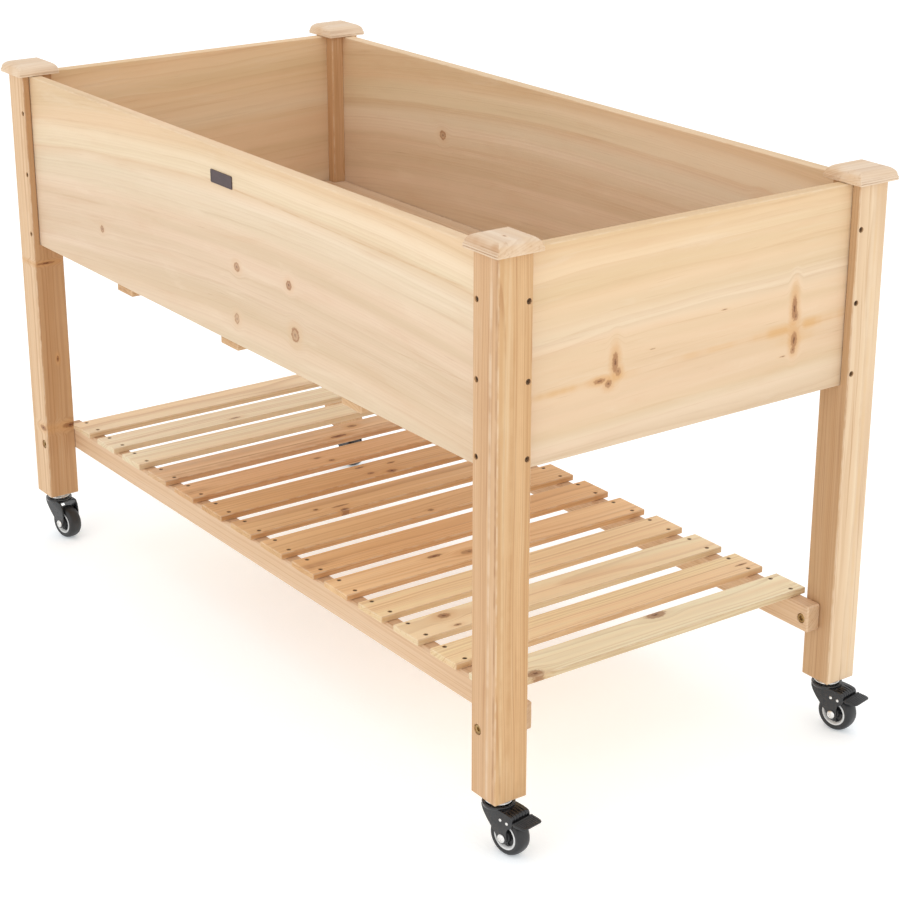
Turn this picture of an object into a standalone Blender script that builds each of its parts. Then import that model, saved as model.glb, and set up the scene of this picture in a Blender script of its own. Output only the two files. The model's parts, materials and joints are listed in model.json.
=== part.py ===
"""Raised planter box on four legs with a slatted shelf and swivel casters.

Metres, +Z up, floor at z = 0. +X runs along the long side, -Y is the front.
"""

import math

import bmesh
import bpy
from mathutils import Matrix, Vector

# ---- overall layout -------------------------------------------------------
LENGTH = 1.200  # outer faces of the legs along X
WIDTH = 0.576  # outer faces of the legs along Y
CENTRE_X = -0.011  # the planter sits back from the origin so casters balance the box
LEG = 0.0465  # square leg
LEG_FOOT = 0.071  # underside of the legs
LEG_TOP = 0.7275  # top of the legs
GAP = 0.0003  # working gap between touching pieces
EASE = 0.0010  # eased wood edge

# ---- bed panels -----------------------------------------------------------
PANEL_BOTTOM = 0.4745
PANEL_TOP = 0.7270
PANEL_T = 0.0160
LONG_RECESS = 0.0108  # leg face to long panel face
SHORT_RECESS = 0.0133  # leg face to short panel face
TONGUE = 0.0100  # panel end held in the leg groove

# ---- post caps ------------------------------------------------------------
CAP_BASE = 0.0635
CAP_TOP = 0.0460
CAP_LIP = 0.0052
CAP_H = 0.0155

# ---- bed floor ------------------------------------------------------------
BATTEN_W = 0.0430
BATTEN_LIP = 0.0094  # under the panels
BATTEN_H = 0.0175  # between the panels
BATTEN_PITCH = 0.290
BATTEN_SETBACK = 0.0015
CLEAT_W = 0.0200
FLOOR_T = 0.0120
FLOOR_COUNT = 4
FLOOR_GAP = 0.0040

# ---- shelf ----------------------------------------------------------------
RAIL_T = 0.0220
RAIL_BOTTOM = 0.1430
RAIL_TOP = 0.1790
RAIL_INSET = 0.0200  # rail end back from the leg's outer face
SLAT_COUNT = 14
SLAT_W = 0.0540
SLAT_T = 0.0085
SLAT_LEN = 0.4940
SLAT_PITCH = 0.0798

# ---- label plate ----------------------------------------------------------
PLATE_X = -0.001
PLATE_Z = 0.6875
PLATE_W = 0.0530
PLATE_H = 0.0168
PLATE_T = 0.0012

# ---- casters --------------------------------------------------------------
WHEEL_R = 0.0250
TYRE_W = 0.0210
TRAIL = 0.0190
AXLE_Z = -(LEG_FOOT - WHEEL_R)
AXLE_R = 0.0030
BORE_R = 0.00305
CHEEK_T = 0.0026
CHEEK_OUT = 0.0153
PIVOT_X = 0.0260
PIVOT_Z = -0.0185
HEAD_R = 0.0150
CROWN_R = 0.0200

HX = LENGTH / 2
HY = WIDTH / 2
LONG_IN = LONG_RECESS + PANEL_T
SHORT_IN = SHORT_RECESS + PANEL_T
FLOOR_Z = PANEL_BOTTOM - GAP - BATTEN_LIP + BATTEN_H + GAP

CASTERS = (
    ("front_right", 1, -1, 10.0, True),
    ("front_left", -1, -1, 10.0, False),
    ("back_right", 1, 1, 12.0, True),
    ("back_left", -1, 1, 8.0, False),
)


# ---- scene and materials --------------------------------------------------
def clear_scene():
    for obj in list(bpy.data.objects):
        bpy.data.objects.remove(obj, do_unlink=True)


def material(name, colour, roughness, metallic=0.0):
    mat = bpy.data.materials.new(name)
    mat.use_nodes = True
    shader = mat.node_tree.nodes["Principled BSDF"]
    shader.inputs["Base Color"].default_value = (*colour, 1.0)
    shader.inputs["Roughness"].default_value = roughness
    shader.inputs["Metallic"].default_value = metallic
    mat.diffuse_color = (*colour, 1.0)
    return mat


def make_materials():
    return {
        "leg_wood": material("leg_wood", (0.76, 0.55, 0.34), 0.62),
        "panel_wood": material("panel_wood", (0.86, 0.70, 0.48), 0.62),
        "cap_wood": material("cap_wood", (0.84, 0.68, 0.47), 0.62),
        "slat_wood": material("slat_wood", (0.74, 0.52, 0.31), 0.64),
        "rail_wood": material("rail_wood", (0.82, 0.62, 0.39), 0.62),
        "floor_wood": material("floor_wood", (0.78, 0.60, 0.40), 0.66),
        "label": material("label", (0.06, 0.05, 0.045), 0.45),
        "black_steel": material("black_steel", (0.018, 0.018, 0.020), 0.42, 0.3),
        "plated_steel": material("plated_steel", (0.72, 0.72, 0.70), 0.25, 1.0),
        "tread": material("tread", (0.020, 0.020, 0.021), 0.60),
        "rim": material("rim", (0.62, 0.62, 0.60), 0.45),
        "pedal": material("pedal", (0.020, 0.020, 0.022), 0.50),
    }


# ---- mesh helpers ---------------------------------------------------------
def add_object(name, bm, mat, location=(0, 0, 0), turn=0.0):
    bmesh.ops.recalc_face_normals(bm, faces=bm.faces)
    mesh = bpy.data.meshes.new(name)
    bm.to_mesh(mesh)
    bm.free()
    mesh.materials.append(mat)
    obj = bpy.data.objects.new(name, mesh)
    obj.location = location
    obj.rotation_euler = (0.0, 0.0, turn)
    bpy.context.scene.collection.objects.link(obj)
    return obj


def ease(obj, width=EASE, segments=1):
    mod = obj.modifiers.new("ease", "BEVEL")
    mod.width = width
    mod.segments = segments
    mod.limit_method = "ANGLE"
    mod.angle_limit = math.radians(40)
    return obj


def block(name, mat, size, centre, edge=EASE):
    bm = bmesh.new()
    bmesh.ops.create_cube(bm, size=1.0)
    bmesh.ops.scale(bm, vec=Vector(size), verts=bm.verts)
    return ease(add_object(name, bm, mat, centre), edge)


def plan_prism(name, mat, outline, z0, z1, edge=EASE):
    """A flat outline in plan, drawn up from z0 to z1."""
    bm = bmesh.new()
    face = bm.faces.new([bm.verts.new((x, y, z0)) for x, y in outline])
    made = bmesh.ops.extrude_face_region(bm, geom=[face])
    top = [v for v in made["geom"] if isinstance(v, bmesh.types.BMVert)]
    bmesh.ops.translate(bm, vec=(0, 0, z1 - z0), verts=top)
    return ease(add_object(name, bm, mat), edge)


def side_prism(name, mat, outline, y0, y1, location, turn=0.0, edge=EASE):
    """An outline in X and Z, drawn across from y0 to y1."""
    bm = bmesh.new()
    face = bm.faces.new([bm.verts.new((x, y0, z)) for x, z in outline])
    made = bmesh.ops.extrude_face_region(bm, geom=[face])
    far = [v for v in made["geom"] if isinstance(v, bmesh.types.BMVert)]
    bmesh.ops.translate(bm, vec=(0, y1 - y0, 0), verts=far)
    return ease(add_object(name, bm, mat, location, turn), edge)


def lathe(profile, axis, steps, flats=False):
    """Spin (radius, height) pairs about an axis through the origin.

    With flats, the radii are those of the flats and one flat faces straight down.
    """
    if flats:
        grow = 1 / math.cos(math.pi / steps)
        profile = [(r * grow, h) for r, h in profile]
    bm = bmesh.new()
    closed = all(r > 1e-6 for r, _ in profile)
    if axis == "Z":
        verts = [bm.verts.new((r, 0, h)) for r, h in profile]
        spin_axis = (0, 0, 1)
    else:
        verts = [bm.verts.new((r, h, 0)) for r, h in profile]
        spin_axis = (0, 1, 0)
    edges = [bm.edges.new(pair) for pair in zip(verts, verts[1:])]
    if closed:
        edges.append(bm.edges.new((verts[-1], verts[0])))
    bmesh.ops.spin(
        bm,
        geom=verts + edges,
        cent=(0, 0, 0),
        axis=spin_axis,
        angle=math.tau,
        steps=steps,
        use_merge=True,
    )
    bmesh.ops.remove_doubles(bm, verts=bm.verts, dist=1e-6)
    if flats:
        half_step = Matrix.Rotation(math.pi / steps, 3, axis)
        bmesh.ops.rotate(bm, cent=(0, 0, 0), matrix=half_step, verts=bm.verts)
    return bm


def cutter(name, bm, location=(0, 0, 0), turn=0.0):
    bmesh.ops.recalc_face_normals(bm, faces=bm.faces)
    mesh = bpy.data.meshes.new(name)
    bm.to_mesh(mesh)
    bm.free()
    obj = bpy.data.objects.new(name, mesh)
    obj.location = location
    obj.rotation_euler = (0.0, 0.0, turn)
    obj.hide_render = True
    obj.display_type = "WIRE"
    home = bpy.data.collections.get("cutters")
    if home is None:
        home = bpy.data.collections.new("cutters")
        bpy.context.scene.collection.children.link(home)
    home.objects.link(obj)
    return obj


def boolean(obj, tool, operation):
    mod = obj.modifiers.new(operation.lower(), "BOOLEAN")
    mod.object = tool
    mod.operation = operation
    mod.solver = "EXACT"
    return obj


def cut_block(name, low, high):
    bm = bmesh.new()
    bmesh.ops.create_cube(bm, size=1.0)
    low, high = Vector(low), Vector(high)
    bmesh.ops.scale(bm, vec=high - low, verts=bm.verts)
    return cutter(name, bm, (low + high) / 2)


# ---- legs, caps and panels ------------------------------------------------
def build_leg(name, sx, sy, mats):
    x = CENTRE_X + sx * (HX - LEG / 2)
    y = sy * (HY - LEG / 2)
    height = LEG_TOP - LEG_FOOT
    centre = (x, y, (LEG_TOP + LEG_FOOT) / 2)
    leg = block(f"leg_{name}", mats["leg_wood"], (LEG, LEG, height), centre, 0.0012)
    low, high = PANEL_BOTTOM - GAP, LEG_TOP + 0.01
    # groove for the long panel, open on the leg's inner X face
    inner_x = CENTRE_X + sx * (HX - LEG)
    xs = sorted((inner_x + sx * (TONGUE + GAP), inner_x - sx * 0.01))
    ys = sorted((sy * (HY - LONG_RECESS + GAP), sy * (HY - LONG_IN - GAP)))
    tool = cut_block(f"cut_long_{name}", (xs[0], ys[0], low), (xs[1], ys[1], high))
    boolean(leg, tool, "DIFFERENCE")
    # groove for the short panel, open on the leg's inner Y face
    inner_y = sy * (HY - LEG)
    ys = sorted((inner_y + sy * (TONGUE + GAP), inner_y - sy * 0.01))
    xs = sorted((
        CENTRE_X + sx * (HX - SHORT_RECESS + GAP),
        CENTRE_X + sx * (HX - SHORT_IN - GAP),
    ))
    tool = cut_block(f"cut_short_{name}", (xs[0], ys[0], low), (xs[1], ys[1], high))
    boolean(leg, tool, "DIFFERENCE")
    return leg


def build_cap(name, sx, sy, mats):
    x = CENTRE_X + sx * (HX - LEG / 2)
    y = sy * (HY - LEG / 2)
    bm = bmesh.new()
    rings = []
    for half, z in ((CAP_BASE / 2, 0.0), (CAP_BASE / 2, CAP_LIP), (CAP_TOP / 2, CAP_H)):
        corners = ((-half, -half), (half, -half), (half, half), (-half, half))
        rings.append([bm.verts.new((a, b, z)) for a, b in corners])
    bm.faces.new(rings[0])
    bm.faces.new(rings[-1])
    for lower, upper in zip(rings, rings[1:]):
        for i in range(4):
            j = (i + 1) % 4
            bm.faces.new((lower[i], lower[j], upper[j], upper[i]))
    cap = add_object(f"cap_{name}", bm, mats["cap_wood"], (x, y, LEG_TOP + GAP))
    return ease(cap, 0.0009)


def build_panels(mats):
    z = (PANEL_BOTTOM + PANEL_TOP) / 2
    height = PANEL_TOP - PANEL_BOTTOM
    long_len = LENGTH - 2 * LEG + 2 * TONGUE
    short_len = WIDTH - 2 * LEG + 2 * TONGUE
    for name, side in (("front", -1), ("back", 1)):
        y = side * (HY - LONG_RECESS - PANEL_T / 2)
        size = (long_len, PANEL_T, height)
        block(f"panel_{name}", mats["panel_wood"], size, (CENTRE_X, y, z))
    for name, side in (("left", -1), ("right", 1)):
        x = CENTRE_X + side * (HX - SHORT_RECESS - PANEL_T / 2)
        size = (PANEL_T, short_len, height)
        block(f"panel_{name}", mats["panel_wood"], size, (x, 0, z))


def build_label(mats):
    y = -(HY - LONG_RECESS + PLATE_T / 2 + GAP / 3)
    size = (PLATE_W, PLATE_T, PLATE_H)
    centre = (CENTRE_X + PLATE_X, y, PLATE_Z)
    block("label_plate", mats["label"], size, centre, 0.0003)


# ---- bed floor ------------------------------------------------------------
def build_battens(mats):
    outer = HY - LONG_RECESS - BATTEN_SETBACK
    inner = HY - LONG_IN - GAP
    z0 = PANEL_BOTTOM - GAP - BATTEN_LIP
    z_lip = PANEL_BOTTOM - GAP
    z1 = z0 + BATTEN_H
    outline = (
        (-outer, z0),
        (outer, z0),
        (outer, z_lip),
        (inner, z_lip),
        (inner, z1),
        (-inner, z1),
        (-inner, z_lip),
        (-outer, z_lip),
    )
    for name, k in (("left", -1), ("middle", 0), ("right", 1)):
        bm = bmesh.new()
        x0, x1 = -BATTEN_W / 2, BATTEN_W / 2
        face = bm.faces.new([bm.verts.new((x0, y, z)) for y, z in outline])
        made = bmesh.ops.extrude_face_region(bm, geom=[face])
        far = [v for v in made["geom"] if isinstance(v, bmesh.types.BMVert)]
        bmesh.ops.translate(bm, vec=(x1 - x0, 0, 0), verts=far)
        x = CENTRE_X + k * BATTEN_PITCH
        ease(add_object(f"batten_{name}", bm, mats["floor_wood"], (x, 0, 0)), 0.0008)


def build_cleats(mats):
    length = WIDTH - 2 * LEG - 2 * GAP
    z0 = PANEL_BOTTOM + 0.0010
    z1 = FLOOR_Z - GAP
    for name, side in (("left", -1), ("right", 1)):
        x = CENTRE_X + side * (HX - SHORT_IN - GAP - CLEAT_W / 2)
        size = (CLEAT_W, length, z1 - z0)
        block(f"cleat_{name}", mats["floor_wood"], size, (x, 0, (z0 + z1) / 2), 0.0006)


def build_floor(mats):
    half_len = HX - SHORT_IN - 0.001
    notch_x = HX - LEG - 0.001
    span = 2 * (HY - LONG_IN - 0.001)
    notch_y = HY - LEG - 0.001
    width = (span - (FLOOR_COUNT - 1) * FLOOR_GAP) / FLOOR_COUNT
    z0, z1 = FLOOR_Z, FLOOR_Z + FLOOR_T
    for i in range(FLOOR_COUNT):
        y0 = -span / 2 + i * (width + FLOOR_GAP)
        y1 = y0 + width
        low, high = max(y0, -notch_y), min(y1, notch_y)
        outline = [(-half_len, low), (half_len, low)]
        outline += [(half_len, high), (-half_len, high)]
        if low > y0:
            outline = [(-notch_x, y0), (notch_x, y0), (notch_x, low), (half_len, low)]
            outline += [(half_len, high), (-half_len, high), (-half_len, low)]
            outline += [(-notch_x, low)]
        if high < y1:
            outline = [(-half_len, low), (half_len, low), (half_len, high)]
            outline += [(notch_x, high), (notch_x, y1), (-notch_x, y1)]
            outline += [(-notch_x, high), (-half_len, high)]
        outline = [(CENTRE_X + x, y) for x, y in outline]
        plan_prism(f"floor_board_{i + 1}", mats["floor_wood"], outline, z0, z1, 0.0008)


# ---- shelf ----------------------------------------------------------------
def build_rails(mats):
    length = LENGTH - 2 * RAIL_INSET
    z = (RAIL_BOTTOM + RAIL_TOP) / 2
    height = RAIL_TOP - RAIL_BOTTOM
    for name, side in (("front", -1), ("back", 1)):
        y = side * (HY - LEG - GAP - RAIL_T / 2)
        size = (length, RAIL_T, height)
        block(f"rail_{name}", mats["rail_wood"], size, (CENTRE_X, y, z), 0.0022)


def build_slats(mats):
    z = RAIL_TOP + GAP + SLAT_T / 2
    for i in range(SLAT_COUNT):
        x = CENTRE_X + (i - (SLAT_COUNT - 1) / 2) * SLAT_PITCH
        size = (SLAT_W, SLAT_LEN, SLAT_T)
        block(f"slat_{i + 1:02d}", mats["slat_wood"], size, (x, 0, z), 0.0008)


# ---- casters --------------------------------------------------------------
def build_head(name, base, turn, mats):
    """Plated swivel head fixed under the leg."""
    profile = (
        (0.0, -GAP),
        (0.0135, -GAP),
        (0.0140, -0.0022),
        (0.0115, -0.0030),
        (0.0115, -0.0048),
        (HEAD_R, -0.0058),
        (HEAD_R, -0.0078),
        (0.0, -0.0084),
    )
    bm = lathe(profile, "Z", 24)
    return add_object(f"caster_{name}_head", bm, mats["plated_steel"], base, turn)


def fork_outline(braked):
    """Side view of one cheek, from the front of the crown round to the axle."""
    if braked:
        back = [(0.0200, -0.0112), (0.0330, -0.0140), (0.0340, -0.0185)]
        back += [(0.0322, -0.0270), (0.0290, -0.0380)]
    else:
        back = [(0.0200, -0.0112), (0.0262, -0.0170), (0.0288, -0.0290), (0.0285, -0.0390)]
    boss = []
    for step in range(7):
        angle = math.radians(10 - step * 31)
        x = TRAIL + 0.0088 * math.cos(angle)
        boss.append((x, AXLE_Z + 0.0088 * math.sin(angle)))
    front = [(0.0040, -0.0360), (-0.0070, -0.0270), (-0.0150, -0.0190), (-0.0185, -0.0112)]
    return back + boss + front


def build_fork(name, base, turn, braked, mats):
    """Stamped fork: two cheeks hung from a top sheet, thickened inwards."""
    outline = fork_outline(braked)
    top = outline[:2] if braked else outline[:1]
    bm = bmesh.new()
    cheeks = []
    for y in (-CHEEK_OUT, CHEEK_OUT):
        cheeks.append([bm.verts.new((x, y, z)) for x, z in outline])
        bm.faces.new(cheeks[-1])
    chain = [len(outline) - 1] + list(range(len(top)))
    for a, b in zip(chain, chain[1:]):
        bm.faces.new((cheeks[0][a], cheeks[0][b], cheeks[1][b], cheeks[1][a]))
    fork = add_object(f"caster_{name}_fork", bm, mats["black_steel"], base, turn)
    mod = fork.modifiers.new("sheet", "SOLIDIFY")
    mod.thickness = CHEEK_T
    mod.offset = -1.0
    mod.use_even_offset = True
    # round crown that carries the lower ball race
    crown = lathe(
        (
            (0.0, -0.0090),
            (0.0165, -0.0088),
            (0.0188, -0.0080),
            (CROWN_R, -0.0090),
            (0.0190, -0.0128),
            (0.0, -0.0132),
        ),
        "Z",
        24,
    )
    boolean(fork, cutter(f"crown_{name}", crown, base, turn), "UNION")
    spot = Vector(base) + Matrix.Rotation(turn, 3, "Z") @ Vector((TRAIL, 0, AXLE_Z))
    hole = lathe(((0.0, -0.03), (BORE_R, -0.03), (BORE_R, 0.03), (0.0, 0.03)), "Y", 16)
    boolean(fork, cutter(f"axle_hole_{name}", hole, spot, turn), "DIFFERENCE")
    return spot


def build_axle(name, spot, turn, mats):
    end = CHEEK_OUT + GAP / 2
    profile = (
        (0.0, -end - 0.0026),
        (0.0042, -end - 0.0024),
        (0.0055, -end - 0.0012),
        (0.0055, -end),
        (AXLE_R, -end),
        (AXLE_R, end),
        (0.0055, end),
        (0.0055, end + 0.0012),
        (0.0042, end + 0.0024),
        (0.0, end + 0.0026),
    )
    bm = lathe(profile, "Y", 16)
    add_object(f"caster_{name}_axle", bm, mats["plated_steel"], spot, turn)


def build_wheel(name, spot, turn, mats):
    half = TYRE_W / 2
    tyre = (
        (0.0172, -half + 0.0004),
        (0.0205, -half),
        (0.0232, -half + 0.0018),
        (0.0246, -half + 0.0050),
        (WHEEL_R, -0.0028),
        (WHEEL_R, 0.0028),
        (0.0246, half - 0.0050),
        (0.0232, half - 0.0018),
        (0.0205, half),
        (0.0172, half - 0.0004),
    )
    bm = lathe(tyre, "Y", 32, flats=True)
    add_object(f"caster_{name}_tyre", bm, mats["tread"], spot, turn)
    hub = (
        (BORE_R, -half - 0.0010),
        (0.0075, -half - 0.0010),
        (0.0082, -half + 0.0034),
        (0.0135, -half + 0.0034),
        (0.0142, -half + 0.0002),
        (0.0169, -half + 0.0002),
        (0.0169, half - 0.0002),
        (0.0142, half - 0.0002),
        (0.0135, half - 0.0034),
        (0.0082, half - 0.0034),
        (0.0075, half + 0.0010),
        (BORE_R, half + 0.0010),
    )
    bm = lathe(hub, "Y", 24)
    add_object(f"caster_{name}_hub", bm, mats["rim"], spot, turn)


def build_pedal(name, base, turn, mats):
    """Foot brake: a narrow root between the cheeks that widens to a tread plate."""
    stations = (
        (0.0230, -0.0169, -0.0200, 0.0113),
        (0.0300, -0.0179, -0.0209, 0.0113),
        (0.0352, -0.0190, -0.0230, 0.0113),
        (0.0360, -0.0193, -0.0233, 0.0165),
        (0.0540, -0.0236, -0.0270, 0.0165),
        (0.0560, -0.0246, -0.0264, 0.0150),
    )
    bm = bmesh.new()
    rings = []
    for x, z_top, z_low, half in stations:
        x, z_top, z_low = x - PIVOT_X, z_top - PIVOT_Z, z_low - PIVOT_Z
        corners = ((-half, z_top), (half, z_top), (half, z_low), (-half, z_low))
        rings.append([bm.verts.new((x, y, z)) for y, z in corners])
    bm.faces.new(rings[0])
    bm.faces.new(rings[-1])
    for near, far in zip(rings, rings[1:]):
        for i in range(4):
            j = (i + 1) % 4
            bm.faces.new((near[i], near[j], far[j], far[i]))
    spin = Matrix.Rotation(turn, 3, "Z")
    spot = Vector(base) + spin @ Vector((PIVOT_X, 0, PIVOT_Z))
    add_object(f"caster_{name}_pedal", bm, mats["pedal"], spot, turn)


def build_caster(name, sx, sy, degrees, braked, mats):
    turn = math.radians(degrees)
    base = (CENTRE_X + sx * (HX - LEG / 2), sy * (HY - LEG / 2), LEG_FOOT)
    build_head(name, base, turn, mats)
    spot = build_fork(name, base, turn, braked, mats)
    build_axle(name, spot, turn, mats)
    build_wheel(name, spot, turn, mats)
    if braked:
        build_pedal(name, base, turn, mats)


def main():
    clear_scene()
    mats = make_materials()
    for name, sx, sy, degrees, braked in CASTERS:
        build_leg(name, sx, sy, mats)
        build_cap(name, sx, sy, mats)
        build_caster(name, sx, sy, degrees, braked, mats)
    build_panels(mats)
    build_label(mats)
    build_battens(mats)
    build_cleats(mats)
    build_floor(mats)
    build_rails(mats)
    build_slats(mats)


main()
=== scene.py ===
"""Looks of the raised planter: detailed pieces, procedural materials, light and camera.

Metres unless a comment says mm, +Z up, floor at z = 0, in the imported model's frame.
"""
import json
import random
from math import atan2, copysign, cos, hypot, pi, radians, sin, tau

import bmesh
import bpy
from mathutils import Matrix, Vector


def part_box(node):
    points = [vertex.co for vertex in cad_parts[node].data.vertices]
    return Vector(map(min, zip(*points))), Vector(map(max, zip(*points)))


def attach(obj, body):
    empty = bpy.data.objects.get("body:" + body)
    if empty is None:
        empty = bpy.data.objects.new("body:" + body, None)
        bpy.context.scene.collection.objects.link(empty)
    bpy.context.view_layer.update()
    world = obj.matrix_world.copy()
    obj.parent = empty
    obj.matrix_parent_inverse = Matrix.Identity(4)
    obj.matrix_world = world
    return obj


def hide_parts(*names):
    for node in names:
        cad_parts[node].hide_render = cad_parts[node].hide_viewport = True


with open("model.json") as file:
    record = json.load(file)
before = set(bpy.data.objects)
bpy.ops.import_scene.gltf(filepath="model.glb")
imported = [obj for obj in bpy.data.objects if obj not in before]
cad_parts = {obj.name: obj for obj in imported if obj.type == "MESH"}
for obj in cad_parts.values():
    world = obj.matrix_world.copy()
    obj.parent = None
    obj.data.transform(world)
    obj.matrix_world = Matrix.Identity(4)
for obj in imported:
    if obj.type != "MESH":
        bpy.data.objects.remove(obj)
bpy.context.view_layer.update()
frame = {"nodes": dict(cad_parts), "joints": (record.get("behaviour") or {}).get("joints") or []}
rng = random.Random(7)

PLANTER = "planter"
CORNERS = ("front_right", "front_left", "back_right", "back_left")
BRAKED = ("front_right", "back_right")


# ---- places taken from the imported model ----
def span(node):
    low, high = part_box(node)
    return low, high, (low + high) / 2, (high - low) / 2


LEG_BOX = {c: span(f"leg_{c}") for c in CORNERS}
MID_X = (LEG_BOX["front_right"][2].x + LEG_BOX["front_left"][2].x) / 2
HALF_LENGTH = LEG_BOX["front_right"][1].x - MID_X


# ---- shader helpers ----
class Shader:
    """A material whose node tree is written as nested calls."""

    def __init__(self, name, roughness=0.5, metallic=0.0, specular=0.5, coat=0.0):
        self.mat = bpy.data.materials.new(name)
        self.mat.use_nodes = True
        self.tree = self.mat.node_tree
        self.bsdf = self.tree.nodes["Principled BSDF"]
        for key, value in (("Roughness", roughness), ("Metallic", metallic),
                           ("Specular IOR Level", specular), ("Coat Weight", coat)):
            self.bsdf.inputs[key].default_value = value
        coord = self.tree.nodes.new("ShaderNodeTexCoord")
        self.place = coord.outputs["Object"]
        self.normal = coord.outputs["Normal"]

    def node(self, kind, inputs=(), **settings):
        made = self.tree.nodes.new(kind)
        for key, value in settings.items():
            setattr(made, key, value)
        for socket, value in inputs:
            self.join(value, made.inputs[socket])
        return made

    def join(self, value, socket):
        if isinstance(value, bpy.types.NodeSocket):
            self.tree.links.new(value, socket)
        else:
            socket.default_value = value

    def math(self, operation, a, b=0.0):
        return self.node("ShaderNodeMath", ((0, a), (1, b)), operation=operation).outputs[0]

    def add(self, a, b):
        return self.math("ADD", a, b)

    def sub(self, a, b):
        return self.math("SUBTRACT", a, b)

    def mul(self, a, b):
        return self.math("MULTIPLY", a, b)

    def size(self, a):
        return self.math("ABSOLUTE", a)

    def vec(self, operation, a, b=(0.0, 0.0, 0.0)):
        made = self.node("ShaderNodeVectorMath", ((0, a), (1, b)), operation=operation)
        return made.outputs["Value" if operation in ("LENGTH", "DOT_PRODUCT") else 0]

    def split(self, vector):
        return self.node("ShaderNodeSeparateXYZ", ((0, vector),)).outputs

    def pack(self, x, y, z):
        return self.node("ShaderNodeCombineXYZ", ((0, x), (1, y), (2, z))).outputs[0]

    def noise(self, vector, scale=1.0, detail=2.0, rough=0.5, warp=0.0):
        inputs = (("Vector", vector), ("Scale", scale), ("Detail", detail),
                  ("Roughness", rough), ("Distortion", warp))
        return self.node("ShaderNodeTexNoise", inputs).outputs["Fac"]

    def noise_line(self, value, scale=1.0, detail=1.0):
        inputs = (("W", value), ("Scale", scale), ("Detail", detail))
        return self.node("ShaderNodeTexNoise", inputs, noise_dimensions="1D").outputs["Fac"]

    def spread(self, value, a, b, low=0.0, high=1.0, smooth=True):
        inputs = (("Value", value), ("From Min", a), ("From Max", b),
                  ("To Min", low), ("To Max", high))
        kind = "SMOOTHSTEP" if smooth else "LINEAR"
        return self.node("ShaderNodeMapRange", inputs, interpolation_type=kind).outputs[0]

    def mix(self, fac, a, b, blend="MIX"):
        made = self.node("ShaderNodeMix", data_type="RGBA", blend_type=blend)
        self.join(fac, made.inputs[0])
        self.join(a, made.inputs[6])
        self.join(b, made.inputs[7])
        return made.outputs[2]

    def stain(self, fac, colour, tint):
        """Multiply a colour by a tint where fac says."""
        return self.mix(fac, colour, self.mix(1.0, colour, tint, "MULTIPLY"))

    def ramp(self, value, stops):
        made = self.node("ShaderNodeValToRGB", ((0, value),))
        elements = made.color_ramp.elements
        while len(elements) < len(stops):
            elements.new(0.5)
        for element, (place, colour) in zip(elements, stops):
            element.position = place
            element.color = colour
        return made.outputs[0]

    def finish(self, colour=None, rough=None, height=None, depth=0.0002):
        if colour is not None:
            self.join(colour, self.bsdf.inputs["Base Color"])
        if rough is not None:
            self.join(rough, self.bsdf.inputs["Roughness"])
        if height is not None:
            bump = self.node("ShaderNodeBump", (("Height", height), ("Distance", depth)))
            self.join(bump.outputs[0], self.bsdf.inputs["Normal"])
        return self.mat


def rgb(r, g, b, gain=0.81):
    """Linear reflectance from display values; the light on the wood is a little over 1."""
    def linear(v):
        v /= 255
        return v / 12.92 if v <= 0.04045 else ((v + 0.055) / 1.055) ** 2.4
    gains = gain if isinstance(gain, tuple) else (gain,) * 3
    return tuple(min(0.94, linear(v) * k) for v, k in zip((r, g, b), gains)) + (1.0,)


# ---- wood ----
KNOT_CORE = rgb(164, 110, 68)
KNOT_DARK = rgb(104, 56, 30)
KNOT_HALO = rgb(226, 168, 104)
RESIN = rgb(228, 172, 98)


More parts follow.
